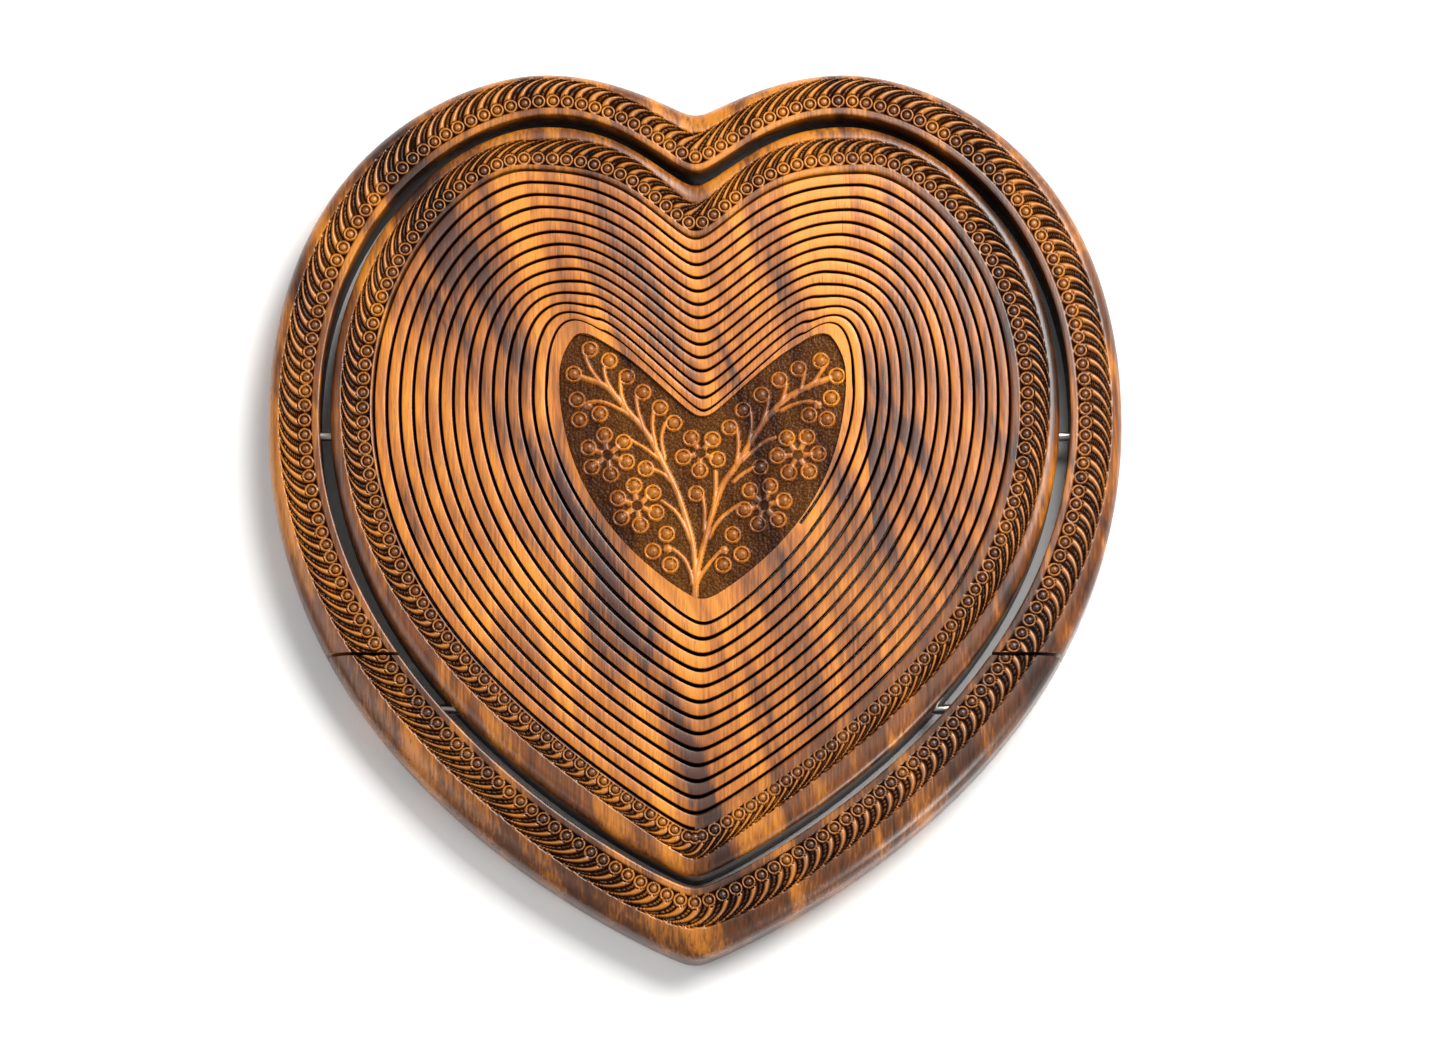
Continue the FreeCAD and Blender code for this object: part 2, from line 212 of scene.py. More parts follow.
GLUE_LINE_X, GLUE_LINE_LEAN = 0.0625, -0.06
STREAK_X, STREAK_LEAN, STREAK_WANDER = -0.046, 0.47, 0.05
STREAK_SHARPNESS = 62.0
FIGURE_SCALE, FIGURE_LEAN = (64, 14, 30), 0.28
FIBRE_SCALE, PORE_SCALE = (1100, 60, 700), (2300, 150, 1500)
FIGURE_DEPTH, STREAK_DEPTH, RIGHT_BOARD_DEPTH, FIBRE_DEPTH = 2.4, 0.42, 0.20, 1.1
PORE_DEPTH = 0.6
# Near black for the dark stain, and for the painted shade on walls, in grooves and in holes.
STAIN_AND_SHADE_BLACK = (0.010, 0.003, 0.001)
COAT_ROUGHNESS = 0.2


def rosewood(name, pale, middle, dark, roughness):
    """Varnished rosewood: figure, fibres and pores that run along y, two boards glued side
    by side, a darker streak of heartwood, near black where the stain attribute is 1 (dark
    stain, and painted shade on walls, in grooves and in holes), and the pale colour where
    it is below 0, a painted highlight on the carved crests."""
    material = bpy.data.materials.new(name)
    material.use_nodes = True
    nodes, links = material.node_tree.nodes, material.node_tree.links
    shader = nodes["Principled BSDF"]
    place = nodes.new("ShaderNodeTexCoord").outputs["Object"]

    def scaled_noise(scale, detail, distortion=0.0, source=place, lean=0.0):
        mapping = nodes.new("ShaderNodeMapping")
        mapping.vector_type = "TEXTURE"
        mapping.inputs["Scale"].default_value = tuple(1 / one for one in scale)
        mapping.inputs["Rotation"].default_value = (0, 0, lean)
        links.new(source, mapping.inputs["Vector"])
        noise = nodes.new("ShaderNodeTexNoise")
        noise.inputs["Scale"].default_value = 1.0
        noise.inputs["Detail"].default_value = detail
        noise.inputs["Distortion"].default_value = distortion
        links.new(mapping.outputs[0], noise.inputs["Vector"])
        return noise.outputs["Fac"]

    def math_node(operation, first, second=None, third=None, clamp=False):
        made = nodes.new("ShaderNodeMath")
        made.operation = operation
        made.use_clamp = clamp
        for socket, value in zip(made.inputs, (first, second, third)):
            if value is None:
                continue
            if isinstance(value, (int, float)):
                socket.default_value = value
            else:
                links.new(value, socket)
        return made.outputs[0]

    def mixed(factor, first, second, blend="MIX"):
        mix = nodes.new("ShaderNodeMix")
        mix.data_type = "RGBA"
        mix.blend_type = blend
        for socket, value in ((mix.inputs["Factor"], factor), (mix.inputs[6], first), (mix.inputs[7], second)):
            if isinstance(value, tuple):
                socket.default_value = (*value, 1)
            elif isinstance(value, (int, float)):
                socket.default_value = value
            else:
                links.new(value, socket)
        return mix.outputs[2]

    axes = nodes.new("ShaderNodeSeparateXYZ")
    links.new(place, axes.inputs[0])
    x, y = axes.outputs["X"], axes.outputs["Y"]

    # The right-hand board starts at a glue line that leans a little.
    line = math_node("MULTIPLY_ADD", y, GLUE_LINE_LEAN, GLUE_LINE_X)
    right_board = math_node("MULTIPLY", math_node("SUBTRACT", x, line), 4000.0, clamp=True)
    shifted = nodes.new("ShaderNodeCombineXYZ")
    links.new(math_node("MULTIPLY_ADD", right_board, 0.37, x), shifted.inputs["X"])
    links.new(math_node("MULTIPLY_ADD", right_board, 0.21, y), shifted.inputs["Y"])
    links.new(axes.outputs["Z"], shifted.inputs["Z"])
    own_place = shifted.outputs[0]

    figure = scaled_noise(FIGURE_SCALE, 3.0, 0.9, own_place, FIGURE_LEAN)
    fibres = scaled_noise(FIBRE_SCALE, 4.0, 0.3, own_place)
    pores = scaled_noise(PORE_SCALE, 2.0, 0.0, own_place)

    # The streak of heartwood follows a slanting line that wanders to both sides.
    streak_side = math_node("MULTIPLY_ADD", y, STREAK_LEAN, math_node("SUBTRACT", x, STREAK_X))
    wavy = math_node("MULTIPLY_ADD", scaled_noise((24, 24, 10), 2.0), STREAK_WANDER, -STREAK_WANDER / 2)
    streak_off = math_node("ABSOLUTE", math_node("ADD", streak_side, wavy))
    streak = math_node("SUBTRACT", 1.0, math_node("MULTIPLY", streak_off, STREAK_SHARPNESS), clamp=True)

    # How dark the wood is: 0 is the pale colour, 0.5 the middle one and 1 the dark one.
    depth = math_node("MULTIPLY_ADD", figure, FIGURE_DEPTH, 0.40 - FIGURE_DEPTH / 2)
    depth = math_node("MULTIPLY_ADD", streak, STREAK_DEPTH, depth)
    depth = math_node("MULTIPLY_ADD", right_board, RIGHT_BOARD_DEPTH, depth)
    depth = math_node("SUBTRACT", depth, FIBRE_DEPTH / 2)
    depth = math_node("MULTIPLY_ADD", fibres, FIBRE_DEPTH, depth, clamp=True)
    ramp = colour_ramp(nodes, [(0.0, pale), (0.5, middle), (1.0, dark)])
    links.new(depth, ramp.inputs[0])
    pore = math_node("MULTIPLY", math_node("SUBTRACT", 0.42, pores), 7.0, clamp=True)
    wood = mixed(math_node("MULTIPLY", pore, PORE_DEPTH), ramp.outputs[0], dark)

    stain_and_painted_light = nodes.new("ShaderNodeAttribute")
    stain_and_painted_light.attribute_name = "stain_and_painted_light"
    # Painted highlight: where the attribute is below 0 the wood is painted pale.
    painted_highlight = math_node("MULTIPLY", stain_and_painted_light.outputs["Fac"], -1.0, clamp=True)
    stained_and_painted_light = mixed(stain_and_painted_light.outputs["Fac"], mixed(painted_highlight, wood, pale), STAIN_AND_SHADE_BLACK)
    links.new(stained_and_painted_light, shader.inputs["Base Color"])

    # The varnish is dulled in the stained places and in the places painted as shade.
    unstained_and_unshaded = math_node("SUBTRACT", 1.0, math_node("MAXIMUM", stain_and_painted_light.outputs["Fac"], 0.0), clamp=True)
    links.new(math_node("MULTIPLY", unstained_and_unshaded, 0.5), shader.inputs["Specular IOR Level"])
    links.new(math_node("MULTIPLY", unstained_and_unshaded, 0.3), shader.inputs["Coat Weight"])
    shader.inputs["Roughness"].default_value = roughness
    shader.inputs["Coat Roughness"].default_value = COAT_ROUGHNESS
    bump = nodes.new("ShaderNodeBump")
    bump.inputs["Strength"].default_value = 0.25
    bump.inputs["Distance"].default_value = 0.0002
    links.new(math_node("MULTIPLY_ADD", pore, -0.6, fibres), bump.inputs["Height"])
    links.new(bump.outputs[0], shader.inputs["Normal"])
    return material


def place_piece(piece, body, slot, material, *nodes):
    """A finished piece: its finish, the body it moves with and the CAD nodes it stands for."""
    piece.data.materials.append(material)
    if body:
        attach(piece, body)
    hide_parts(*nodes)


spiral_wood = rosewood("honey_rosewood", pale=(0.68, 0.235, 0.012), middle=(0.38, 0.108, 0.006),
                       dark=(0.055, 0.013, 0.003), roughness=0.42)

for number in range(1, WHOLE_TURNS + 1):
    last = LAST_PART if number == WHOLE_TURNS else 1.0
    for side, start, stop in (("left", 0.0, 0.5), ("right", 0.5, last)):
        half = strip_half(number, start, stop)
        piece = skin(f"spiral_{number:02d}_{side}", half)
        # Painted shade: the walls of each saw cut are painted nearly black.
        add_stain_and_painted_light(piece, STRIP_SECTION[:, 2] + np.zeros(half.shape[:2]))
        place_piece(piece, None, "spiral_wood", spiral_wood, f"spiral_turn_{number:02d}")
        if side == "left":
            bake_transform(piece)
        else:
            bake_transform(piece)

# ---------------------------------------------------------------- rim
# The fixed ring of the basket, with the carved border on its face: a row of round beads
# along the first saw cut, each with a comma tail that sweeps outwards and clockwise, and
# seed pearls punched between the tails. Two halves that meet at the cleft and at the tip.
BEAD_PITCH = 5.1
CARVE_DEPTH = 1.05
TAIL_SWEEP = 15.0  # mm that a tail runs along the band
TAIL_LENGTH_SHARE = 0.62  # its length, over the sum of its sweep and its reach
# Shares of the pitch: the bead's radius, the line of a tail on one side of it and of the
# pearls on the other, and half the widths of both.
BEAD_RADIUS, TAIL_SIDE, TAIL_HALF, TAIL_TAPER, PEARL_HALF = 0.49, 0.24, 0.29, 0.11, 0.15
PEARL_PITCH, PEARL_HEIGHT = 1.15, 0.55
# Shares of the bead's radius: the edge of its dome, and the ring round it.
DOME_EDGE, RING_MIDDLE, RING_HALF = 0.56, 0.83, 0.17
BEAD_SEAT, DOME_HEIGHT, RING_HEIGHT = 0.9, 0.95, 0.85


def smooth_step(value):
    """0 below 0, 1 above 1, and a smooth S between."""
    value = np.clip(value, 0, 1)
    return value * value * (3 - 2 * value)


def ridge(offset, half_width):
    """A half-round ridge: 1 on its crest and 0 from half_width away."""
    return np.sqrt(np.clip(1 - (offset / half_width) ** 2, 0, 1))


def wrapped(value):
    """A phase brought to between -0.5 and 0.5."""
    return value - np.round(value)


def bead_line(inner, outer, setback, shift):
    """Where the beads sit: a line a fixed distance out from the inner outline, its arc
    length from the tip, and the number and wandering phase of the beads along it."""
    along = np.linspace(0, 1, 1500)
    inner_x, inner_y = half_heart(inner, along)
    outer_x, outer_y = half_heart(outer, along)
    width = np.hypot(outer_x - inner_x, outer_y - inner_y)
    share = setback / width
    x, y = inner_x + share * (outer_x - inner_x), inner_y + share * (outer_y - inner_y)
    arc = np.concatenate([[0], np.cumsum(np.hypot(np.diff(x), np.diff(y)))])
    beads = 2 * round(arc[-1] / BEAD_PITCH)
    pitch = 2 * arc[-1] / beads
    clockwise = np.linspace(0, 2 * arc[-1], 4000)
    wander = 0.10 * np.sin(clockwise * 0.071) + 0.06 * np.sin(clockwise * 0.193 + 1.0)
    phase = (clockwise - arc[-1]) / pitch + shift + wander * np.sin(math.pi * clockwise / arc[-1]) ** 2
    return {"along": along, "arc": arc, "x": x, "y": y, "width": width, "pitch": pitch,
            "setback": setback, "clockwise": clockwise, "phase": phase}


def bead_distance(line, number, x, y):
    """How far each point is from the centre of the bead with that number."""
    clockwise = np.interp(number, line["phase"], line["clockwise"])
    total = line["arc"][-1]
    arc = np.where(clockwise <= total, clockwise, 2 * total - clockwise)
    side = np.where(clockwise <= total, -1, 1)
    return np.hypot(x - side * np.interp(arc, line["arc"], line["x"]), y - np.interp(arc, line["arc"], line["y"]))


def carve_border(line, reach, along, side, outward, x, y):
    """The carving at each point, in mm above the face, and how dark it is painted: stain and
    painted shade deeper in the grooves, a painted highlight on the crests, and painted shade
    towards each dome's edge. Ridges and domes are half-round, and the pattern repeats with
    the phase of the beads."""
    arc = np.interp(along, line["along"], line["arc"])
    clockwise = np.where(side < 0, arc, 2 * line["arc"][-1] - arc)
    phase = np.interp(clockwise, line["clockwise"], line["phase"])
    pitch, setback = line["pitch"], line["setback"]
    radius = BEAD_RADIUS * pitch

    near = np.floor(phase)
    distance = np.minimum(bead_distance(line, near, x, y), bead_distance(line, near + 1, x, y)) / radius
    dome = -BEAD_SEAT + DOME_HEIGHT * ridge(distance, DOME_EDGE)
    ring = -BEAD_SEAT + RING_HEIGHT * ridge(distance - RING_MIDDLE, RING_HALF)
    bead = np.maximum(dome, ring)

    # A tail's line is a quarter ellipse: straight out from its bead, then along the band.
    lift = np.clip((outward - setback) / reach, 0, 1)
    angle = np.arcsin(lift)
    own = phase - TAIL_SWEEP * (1 - np.cos(angle)) / pitch
    tail = ridge(wrapped(own + TAIL_SIDE), TAIL_HALF - TAIL_TAPER * lift)
    from_pearl = 2 * wrapped(angle * TAIL_LENGTH_SHARE * (reach + TAIL_SWEEP) / PEARL_PITCH)
    beside_pearl = wrapped(own - TAIL_SIDE) / PEARL_HALF
    pearl = PEARL_HEIGHT * ridge(np.hypot(from_pearl, beside_pearl), 1.0) * (angle < 1.15)
    tails = CARVE_DEPTH * (np.maximum(tail, pearl) - 1)

    fade_out = 1 - smooth_step((angle - 1.10) / 0.30)
    fade_in = smooth_step((outward - (setback - radius - 0.25)) / 0.35)
    pattern = np.where(outward < setback - 0.2 * radius, -0.95, tails)
    carved = np.where(distance < 1.0, bead, np.where(distance < 1.07, -CARVE_DEPTH, pattern))
    carved = carved * fade_in * fade_out
    # Dark stain with painted shade deeper in the carving, and a painted highlight on its top 0.35 mm.
    crest_highlight_mask = np.clip(1 + carved / 0.35, 0, 1) * fade_in * fade_out
    stain_and_painted_light = np.clip((-carved - 0.30) / 0.45, 0, 1) - 0.75 * crest_highlight_mask
    # Painted shade: each dome is painted darker towards its edge.
    painted_dome_shade = 0.05 + 0.75 * (distance / DOME_EDGE) ** 3
    return carved, np.where(distance < DOME_EDGE, painted_dome_shade * fade_in * fade_out, stain_and_painted_light)


def painted_wall_shade(across, below):
    """Painted shade: walls beside a saw cut or the gap are painted nearly black below their rounded top edge."""
    beside = (across < 0.03) | (across > 0.98)
    return 0.95 * beside * smooth_step((below - 0.1) / 1.2 - 3 * (across > 0.5))


def polished_height(share, start, drop):
    """The face is flat up to a share of the band and then falls as a quarter ellipse."""
    beyond = np.clip((share - start) / (1 - start), 0, 1)
    return BOARD_TOP - drop * (1 - np.sqrt(1 - beyond ** 2))


carved_wood = rosewood("carved_rosewood", pale=(0.52, 0.175, 0.012), middle=(0.165, 0.045, 0.005),
                       dark=(0.030, 0.008, 0.002), roughness=0.36)

RIM_DEPTH = 3.2  # turns, how far outside the spiral the rim's outer edge is counted
RIM_FACE_ROWS = 50
RIM_STATIONS = 1400
RIM_FACE = (0.045, 0.90)
RIM_POLISH = 0.72
RIM_DROP = 3.0
RIM_REACH = 8.2
rim_line = bead_line(KERF_START, RIM_OUTER, setback=2.9, shift=0.5)


def rim_half(start, stop):
    """Half the rim: its section runs from the first saw cut over the carved face, down the
    outside and back underneath."""
    around = np.linspace(start, stop, RIM_STATIONS)[:, None]
    along = np.where(around <= 0.5, 2 * around, 2 * (1 - around))
    side = -1 if start < 0.5 else 1
    lip = np.array([(0.0, 0.45), (0.012, 0.2), (0.03, 0.05)])
    face = np.linspace(*RIM_FACE, RIM_FACE_ROWS)
    turn = np.linspace(math.asin((RIM_FACE[1] - RIM_POLISH) / (1 - RIM_POLISH)), math.pi / 2, 7)[1:]
    fall = np.stack([RIM_POLISH + (1 - RIM_POLISH) * np.sin(turn), RIM_DROP * (1 - np.cos(turn))], axis=1)
    flat = np.stack([face, BOARD_TOP - polished_height(face, RIM_POLISH, RIM_DROP)], axis=1)
    under = np.array([(1.0, 12.0), (1.0, 18.4), (0.94, 19.6), (0.88, 20.0), (0.5, 20.0), (0.02, 20.0)])
    section = np.concatenate([lip, flat, fall, under])
    across, below = section.T[:, None, :]
    # Depth in turns, from the leaning wall of the saw cut to the rim's upright outer edge.
    turns = (around - KERF_HALF) * (1 - across) - RIM_DEPTH * across
    turns = turns + KERF_LEAN * below / BOARD_TOP * np.clip(1 - across * 1.2, 0, 1)
    inwards = np.maximum(turns, 0) / FULL_TURNS
    outwards = np.maximum(-turns, 0) / RIM_DEPTH
    outlines = (blended(KERF_START, KERF_END, inwards)
                + np.multiply.outer(RIM_OUTER - KERF_START, outwards))
    x, y = half_heart(outlines, along + 0 * turns)
    middle = KERF_END_MIDDLE * inwards
    width = np.interp(along, rim_line["along"], rim_line["width"])
    outward = -turns / RIM_DEPTH * width
    carved, stain_and_painted_light = carve_border(rim_line, RIM_REACH, along + 0 * turns, side, outward, side * x, y)
    on_face = (np.arange(len(section)) >= 3) & (np.arange(len(section)) < 3 + RIM_FACE_ROWS)
    z = BOARD_TOP - below + np.where(on_face, carved, 0)
    # The face takes the carving's stain and painted light; the walls below take painted shade.
    rim_stain_and_painted_light = np.where(on_face, stain_and_painted_light, painted_wall_shade(across, below))
    return np.stack([middle + side * x, y, z], axis=-1), rim_stain_and_painted_light


for side, start, stop in (("left", 0.0, 0.5), ("right", 0.5 + 1e-9, 1.0)):
    points, stain_and_painted_light = rim_half(start, stop)
    piece = skin(f"rim_{side}", points, 75)
    add_stain_and_painted_light(piece, stain_and_painted_light)
    place_piece(piece, "rim", "carved_band", carved_wood, "basket_rim")

# ---------------------------------------------------------------- handle
# The upper part of the outer band, from lobe to lobe and down to the plain saw cuts. Its
# outer edge is rounded over and polished; the border is the rim's, set a little further in.
# It is made in a left and a right half that meet at the cleft.
PLAIN_CUT_Y = -53.4
PLAIN_CUT_HALF = 0.6
BAND_FACE = (0.035, 0.86)
BAND_POLISH = 0.55
BAND_DROP = 6.0
BAND_REACH = 9.6
HANDLE_STATIONS = 1300
band_line = bead_line(BAND_INNER, SILHOUETTE, setback=5.3, shift=0.0)


def band_section(face_rows):
    """The outer band's section, from inside to outside: share of its width, depth below the top."""
    lip = np.array([(0.0, 0.6), (0.006, 0.3), (0.018, 0.08)])
    face = np.linspace(*BAND_FACE, face_rows)
    flat = np.stack([face, BOARD_TOP - polished_height(face, BAND_POLISH, BAND_DROP)], axis=1)
    turn = np.linspace(math.asin((BAND_FACE[1] - BAND_POLISH) / (1 - BAND_POLISH)), math.pi / 2, 9)[1:]
    fall = np.stack([BAND_POLISH + (1 - BAND_POLISH) * np.sin(turn), BAND_DROP * (1 - np.cos(turn))], axis=1)
    under = np.array([(1.0, 11.0), (1.0, 15.5), (0.985, 17.4), (0.95, 18.9), (0.90, 19.7), (0.84, 20.0),
                      (0.5, 20.0), (0.02, 20.0), (0.0, 19.6), (0.0, 10.0)])
    return np.concatenate([lip, flat, fall, under])


def along_at_height(share, height_y):
    """How far along its outline each share of the band reaches a given y."""
    along = np.linspace(0, LOWER_SHARE + 0.1, 600)
    found = []
    for one in share:
        _, y = half_heart(BAND_INNER + one * (SILHOUETTE - BAND_INNER), along)
        found.append(np.interp(height_y, y, along))
    return np.array(found)


def band_piece(name, along, side, section, face_rows):
    """A length of the outer band, as its section carried along, with the border carved in."""
    share, below = section.T[:, None, :]
    share = share + 0 * along
    x, y = half_heart(blended(BAND_INNER, SILHOUETTE, share), along)
    width = np.interp(along, band_line["along"], band_line["width"])
    carved, stain_and_painted_light = carve_border(band_line, BAND_REACH, along, side, share * width, side * x, y)
    rows = np.arange(len(section))
    on_face = (rows >= 3) & (rows < 3 + face_rows)
    z = BOARD_TOP - below + np.where(on_face, carved, 0)
    piece = skin(name, np.stack([side * x, y, z], axis=-1), 75)
    # Painted shade: the inner wall facing the gap is painted nearly black below its top edge.
    painted_inner_wall_shade = 0.95 * (share < 0.03) * smooth_step((below - 0.1) / 1.2)
    add_stain_and_painted_light(piece, np.where(on_face, stain_and_painted_light, painted_inner_wall_shade))
    return piece


HANDLE_FACE_ROWS = 48
handle_section = band_section(HANDLE_FACE_ROWS)
sweep = np.linspace(0, 1, HANDLE_STATIONS)[:, None]
handle_start = along_at_height(handle_section[:, 0], PLAIN_CUT_Y + PLAIN_CUT_HALF)[None, :]
handle_along = handle_start + (1 - handle_start) * sweep
for side_name, side in (("left", -1.0), ("right", 1.0)):
    handle = band_piece(f"carved_handle_{side_name}", handle_along, side, handle_section, HANDLE_FACE_ROWS)
    place_piece(handle, "handle", "carved_band", carved_wood, "carry_handle")

# ---------------------------------------------------------------- foot
# The V at the tip, cut from the same band as the handle, so that its grain and its border
# run on. Underneath, its inner edge is bevelled to clear the rim when it folds down.
FOOT_STATIONS = 800
FOOT_FACE_ROWS = 48
foot_section = band_section(FOOT_FACE_ROWS)
foot_section[-3:] = [(0.34, 20.0), (0.06, 10.0), (0.0, 8.0)]
foot_wood = rosewood("foot_rosewood", pale=(0.44, 0.145, 0.012), middle=(0.105, 0.029, 0.004),
                     dark=(0.022, 0.006, 0.002), roughness=0.36)
sweep = np.linspace(0, 1, FOOT_STATIONS)[:, None]
foot_end = along_at_height(foot_section[:, 0], PLAIN_CUT_Y - PLAIN_CUT_HALF)[None, :]
foot_along = foot_end * sweep
for side_name, side in (("left", -1.0), ("right", 1.0)):
    foot = band_piece(f"carved_foot_{side_name}", foot_along, side, foot_section, FOOT_FACE_ROWS)
    place_piece(foot, "foot", "carved_band", foot_wood, "folding_foot")

# ---------------------------------------------------------------- panel
# The solid heart at the middle of the spiral. The panel itself is sawn; its ground is cut
# away and punched, and leaves a spray of flowers, berries and stems in relief.
GROUND = np.array([30.4, 38.9, 8.8, 44.3, 64.0, 13.0, 2.2, 51.2, 48.9, 7.0, 49.4, -36.4, 36.0, 23.1])
GROUND_MIDDLE = 2.7
GROUND_OVERLAP = 0.25
PANEL_GROUND = BOARD_TOP - 1.6
PUNCH_HEIGHT = 0.45
RELIEF_STEP = 0.34

panel_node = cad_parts["centre_panel"]
panel_node.data.materials.clear()
panel_node.data.materials.append(spiral_wood)


def ground_outline():
    """The edge of the sunk ground, a little under the plain border round it."""
    x, y = half_heart(GROUND, np.linspace(0, 1, 300))
    x, y = np.concatenate([x, -x[::-1]]), np.concatenate([y, y[::-1]])
    along_x, along_y = np.gradient(x), np.gradient(y)
    length = np.maximum(np.hypot(along_x, along_y), 1e-9)
    return np.stack([GROUND_MIDDLE + x + GROUND_OVERLAP * along_y / length,
                     y - GROUND_OVERLAP * along_x / length], axis=1)


def inside(outline, x, y):
    """Which points lie inside a closed outline, by counting the edges that a ray crosses."""
    result = np.zeros(x.shape, bool)
    for (ax, ay), (bx, by) in zip(outline, np.roll(outline, -1, axis=0)):
        crosses = (ay > y) != (by > y)
        with np.errstate(divide="ignore", invalid="ignore"):
            result ^= crosses & (x < (bx - ax) * (y - ay) / (by - ay) + ax)
    return result


BERRY_RADIUS, BALL_RADIUS, HOLE_RADIUS, BUD_RADIUS = 3.1, 2.15, 1.9, 1.7
BALL_HEIGHT, RING_TOP, STEM_HEIGHT, BUD_HEIGHT = 1.75, 1.35, 1.3, 1.1
MAIN_STEM_HALF, SIDE_STEM_HALF = 1.15, 0.8


def berry_relief(x, y, centre):
    """A berry: a half-round ball inside a thin half-round ring."""
    out = np.hypot(x - centre[0], y - centre[1]) / BERRY_RADIUS
    return np.maximum(BALL_HEIGHT * ridge(out, 0.68), RING_TOP * ridge(out - 0.86, 0.16))


def stem_relief(x, y, route, half_width):
    """A stem: a half-round ridge along a Catmull-Rom curve through its points."""
    route = np.array(route, float)
    at = np.linspace(0, len(route) - 1, 16 * len(route))
    ends = np.concatenate([[2 * route[0] - route[1]], route, [2 * route[-1] - route[-2]]])
    low = np.minimum(at.astype(int), len(route) - 2)
    t = (at - low)[:, None]
    p0, p1, p2, p3 = (ends[low + shift] for shift in range(4))
    curve = 0.5 * (2 * p1 + (p2 - p0) * t + (2 * p0 - 5 * p1 + 4 * p2 - p3) * t ** 2
                   + (3 * p1 - p0 - 3 * p2 + p3) * t ** 3)
    nearest = np.full(x.shape, 1e9)
    for px, py in curve:
        nearest = np.minimum(nearest, np.hypot(x - px, y - py))
    return STEM_HEIGHT * ridge(nearest, half_width)


# Berries by their centres; flowers by centre, petals, and the turn of the first petal.
BERRIES = [
    (-37.7, 58.3), (-30.7, 54.1), (-24.4, 48.2), (-18.7, 42.4), (-12.6, 36.7), (-7.6, 31.1), (-43.4, 49.2),
    (-42.2, 39.7), (-41.3, 32.3), (-34.1, 34.4), (-17.6, 14.3), (-10.1, -9.7), (-15.0, -16.0), (-8.8, -20.9),
    (44.9, 54.1), (36.9, 51.1), (30.1, 47.0), (23.7, 41.5), (17.1, 35.9), (12.3, 29.4), (50.6, 48.5),
    (48.5, 40.3), (40.6, 34.0), (47.0, 32.5), (23.2, 14.9), (13.4, -9.9), (16.6, -17.1), (10.0, -20.9),
    (0.4, 5.1)]
FLOWERS = [((-31.2, 19.4), 6, -21), ((-20.6, 0.8), 6, -21), ((2.0, 20.1), 5, -22), ((36.6, 19.4), 6, 3),
           ((24.5, 0.9), 6, 13)]
BUDS = [(-38.2, 37.6), (43.9, 37.8), (-9.6, -15.0), (10.3, -15.5)]
MAIN_STEMS = [
    [(-0.2, -33.5), (0.1, -24.1), (-0.8, -12.9), (-3.5, -2.7), (-6.7, 6.7), (-11.2, 16.0), (-17.1, 27.2),
     (-23.9, 35.6), (-29.3, 42.2), (-33.0, 45.4), (-40.7, 48.2)],
    [(0.1, -33.5), (1.0, -23.2), (3.3, -12.9), (6.0, -2.7), (10.0, 8.5), (15.0, 16.0), (20.5, 25.3),
     (26.8, 34.7), (34.0, 41.2), (41.3, 45.0), (48.1, 47.8)]]
SIDE_STEMS = [
    [(-39.3, 55.7), (-37.5, 51.5), (-34.3, 46.8), (-32.1, 44.5)], [(-32.7, 51.3), (-31.6, 46.8), (-28.0, 40.8)],
    [(-26.8, 46.4), (-26.2, 41.2), (-23.9, 35.6)], [(-21.2, 40.8), (-20.3, 35.6), (-18.5, 30.0)],
    [(-15.0, 35.1), (-15.1, 29.1), (-13.9, 22.5)], [(-10.8, 30.9), (-12.0, 25.3), (-10.8, 17.9)],
    [(-38.1, 38.9), (-33.0, 38.9), (-27.5, 36.5), (-23.0, 33.7)], [(-23.0, 24.9), (-17.6, 21.6), (-13.0, 17.9)],
    [(-14.9, 14.1), (-11.2, 12.3), (-8.1, 9.0)], [(-11.7, 2.5), (-6.7, -1.7), (-3.5, -7.3), (-1.7, -12.0)],
    [(-7.6, -15.3), (-4.0, -18.5), (-1.7, -23.2), (-0.8, -27.9)], [(15.0, 29.1), (15.5, 22.5), (14.6, 16.0)],
    [(20.0, 34.7), (20.0, 29.1), (19.1, 23.5)], [(26.4, 40.3), (25.4, 35.6), (23.2, 30.0)],
    [(32.7, 45.4), (31.3, 40.3), (28.6, 35.6)], [(39.0, 49.2), (37.7, 44.0), (35.0, 40.8)],
    [(45.8, 51.3), (42.7, 46.8), (39.5, 44.0)], [(43.1, 38.9), (38.6, 38.9), (34.0, 37.5), (30.4, 35.6)],
    [(28.6, 25.8), (24.1, 23.9), (16.8, 17.4)], [(20.5, 14.6), (16.8, 12.3), (13.7, 9.5)],
    [(15.5, 1.1), (10.5, -2.7), (7.3, -6.4), (5.1, -11.1)],
    [(8.7, -16.2), (5.1, -20.4), (1.9, -25.1), (0.5, -28.8)],
    [(7.3, 13.2), (7.3, 6.7), (6.7, 1.1)], [(2.8, 4.3), (3.5, -1.7), (3.3, -8.3)]]
PETAL_SPREAD = {5: 6.424, 6: 7.3}


